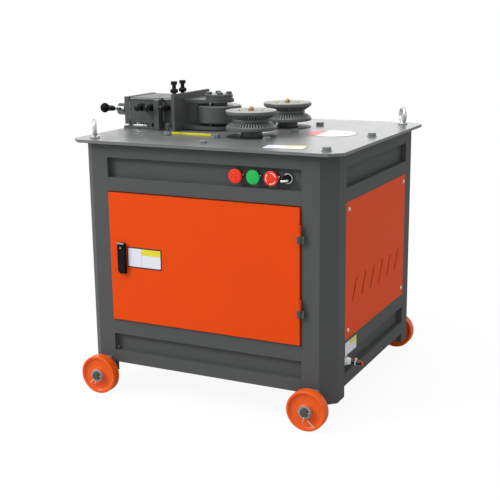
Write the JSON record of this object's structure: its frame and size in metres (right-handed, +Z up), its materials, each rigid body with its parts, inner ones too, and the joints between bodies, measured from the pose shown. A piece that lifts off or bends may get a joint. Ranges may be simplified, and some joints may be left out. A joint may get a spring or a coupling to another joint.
{
  "type": "spiral ring making machine",
  "caption": "Bar bending machine for rings and spirals: wheeled steel cabinet, two driven grooved rolls and a screw-fed press roll on its table.",
  "frame": {"origin": "on the floor under the middle of the machine's bounding box", "axes": "+Z up, +Y from the door side to the back, +X to the right as seen from the door side"},
  "size_m": [0.8875, 0.788, 0.863],
  "materials": {
    "grey_paint": "satin",
    "table_paint": "semi-gloss",
    "orange_paint": "semi-gloss",
    "wheel_orange": "semi-gloss",
    "steel": "machined",
    "cast_iron": "painted and worn",
    "zinc": "zinc plated",
    "chrome": "polished",
    "black_plastic": "matte",
    "black_oxide": "satin",
    "red_plastic": "gloss",
    "green_plastic": "gloss",
    "yellow_paint": "matte",
    "pale_plastic": "matte",
    "rubber": "matte",
    "motor_paint": "satin"
  },
  "bodies": {
    "frame": {"leg_front_left": "grey_paint", "axle_front_left": "zinc", "leg_front_right": "grey_paint", "axle_front_right": "zinc", "leg_rear_left": "grey_paint", "axle_rear_left": "zinc", "leg_rear_right": "grey_paint", "axle_rear_right": "zinc", "rail_front_upper": "grey_paint", "rail_front_lower": "grey_paint", "rail_rear_upper": "grey_paint", "rail_rear_lower": "grey_paint", "rail_left_upper": "grey_paint", "rail_left_lower": "grey_paint", "rail_right_upper": "grey_paint", "rail_right_lower": "grey_paint", "cover_right": "orange_paint", "cover_left": "orange_paint", "cover_rear": "orange_paint", "table_top": "table_paint", "lifting_eye_front": "zinc", "lifting_eye_rear": "zinc", "hinge_upper": "grey_paint", "hinge_lower": "grey_paint", "switch_station": "chrome", "slide_housing": "grey_paint", "slide_cover": "grey_paint", "side_gib": "black_oxide", "top_gib": "black_oxide", "scale_strip": "yellow_paint", "gearbox": "cast_iron", "gearbox_lid": "cast_iron", "drive_belt": "rubber", "motor": "motor_paint", "supply_gland": "pale_plastic", "supply_lead": "rubber"},
    "door": {"front_door": "orange_paint", "latch_plate": "black_plastic"},
    "latch": {"latch_lever": "black_plastic"},
    "stop_head": {"stop_button": "red_plastic"},
    "start_head": {"start_button": "green_plastic"},
    "emergency_head": {"emergency_button": "red_plastic"},
    "selector": {"selector_switch": "black_plastic"},
    "press_fork": {"press_slide": "grey_paint", "press_pin": "grey_paint"},
    "press_wheel": {"press_roll": "cast_iron"},
    "feed": {"feed_screw": "zinc", "crossbar": "zinc", "crossbar_grip_front": "black_plastic", "crossbar_grip_rear": "black_plastic"},
    "drive_front": {"drive_roll_front": "cast_iron", "spindle_front": "steel"},
    "drive_rear": {"drive_roll_rear": "cast_iron", "spindle_rear": "steel"},
    "pinion": {"pinion_shaft": "steel"},
    "rotor": {"motor_pulley": "steel"},
    "roller_front_left": {"wheel_front_left": "wheel_orange"},
    "roller_front_right": {"wheel_front_right": "wheel_orange"},
    "roller_rear_left": {"wheel_rear_left": "wheel_orange"},
    "roller_rear_right": {"wheel_rear_right": "wheel_orange"}
  },
  "joints": [
    {"name": "door_hinge", "type": "hinge", "parent": "frame", "child": "door", "pos_m": [0.321, -0.343, 0.4], "axis": [0, 0, 1], "range_deg": [0, 110]},
    {"name": "latch_turn", "type": "hinge", "parent": "door", "child": "latch", "pos_m": [-0.2135, -0.351, 0.43], "axis": [0, -1, 0], "range_deg": [0, 90]},
    {"name": "stop_press", "type": "slide", "parent": "frame", "child": "stop_head", "axis": [0, 1, 0], "range_m": [0, 0.004], "stiffness_N_per_m": 900},
    {"name": "start_press", "type": "slide", "parent": "frame", "child": "start_head", "axis": [0, 1, 0], "range_m": [0, 0.004], "stiffness_N_per_m": 900},
    {"name": "emergency_press", "type": "slide", "parent": "frame", "child": "emergency_head", "axis": [0, 1, 0], "range_m": [0, 0.005], "stiffness_N_per_m": 900},
    {"name": "selector_turn", "type": "hinge", "parent": "frame", "child": "selector", "pos_m": [0.2815, -0.317, 0.6517], "axis": [0, 1, 0], "range_deg": [0, 90]},
    {"name": "press_feed", "type": "slide", "parent": "frame", "child": "press_fork", "axis": [1, 0, 0], "range_m": [0, 0.032]},
    {"name": "press_spin", "type": "hinge", "parent": "press_fork", "child": "press_wheel", "pos_m": [-0.082, 0, 0.77], "axis": [0, 0, 1], "continuous": true},
    {"name": "feed_turn", "type": "hinge", "parent": "press_fork", "child": "feed", "pos_m": [-0.367, 0, 0.773], "axis": [1, 0, 0], "range_deg": [0, 2304]},
    {"name": "drive_front_spin", "type": "hinge", "parent": "frame", "child": "drive_front", "pos_m": [0.082, -0.1225, 0.745], "axis": [0, 0, 1], "continuous": true},
    {"name": "drive_rear_spin", "type": "hinge", "parent": "frame", "child": "drive_rear", "pos_m": [0.082, 0.1225, 0.745], "axis": [0, 0, 1], "continuous": true},
    {"name": "pinion_spin", "type": "hinge", "parent": "frame", "child": "pinion", "pos_m": [0.082, 0, 0.6], "axis": [0, 0, 1], "continuous": true},
    {"name": "rotor_spin", "type": "hinge", "parent": "frame", "child": "rotor", "pos_m": [-0.118, 0, 0.5], "axis": [0, 0, 1], "continuous": true},
    {"name": "roll_front_left", "type": "hinge", "parent": "frame", "child": "roller_front_left", "pos_m": [-0.289, -0.367, 0.055], "axis": [0, 1, 0], "continuous": true},
    {"name": "roll_front_right", "type": "hinge", "parent": "frame", "child": "roller_front_right", "pos_m": [0.355, -0.367, 0.055], "axis": [0, 1, 0], "continuous": true},
    {"name": "roll_rear_left", "type": "hinge", "parent": "frame", "child": "roller_rear_left", "pos_m": [-0.289, 0.367, 0.055], "axis": [0, 1, 0], "continuous": true},
    {"name": "roll_rear_right", "type": "hinge", "parent": "frame", "child": "roller_rear_right", "pos_m": [0.355, 0.367, 0.055], "axis": [0, 1, 0], "continuous": true}
  ],
  "couplings": [
    {"joint": "feed_turn", "follows": "press_feed", "rad_per_m": 1256.6},
    {"joint": "drive_rear_spin", "follows": "drive_front_spin", "ratio": 1},
    {"joint": "pinion_spin", "follows": "drive_front_spin", "ratio": -1.7222},
    {"joint": "rotor_spin", "follows": "drive_front_spin", "ratio": -3.6167}
  ]
}
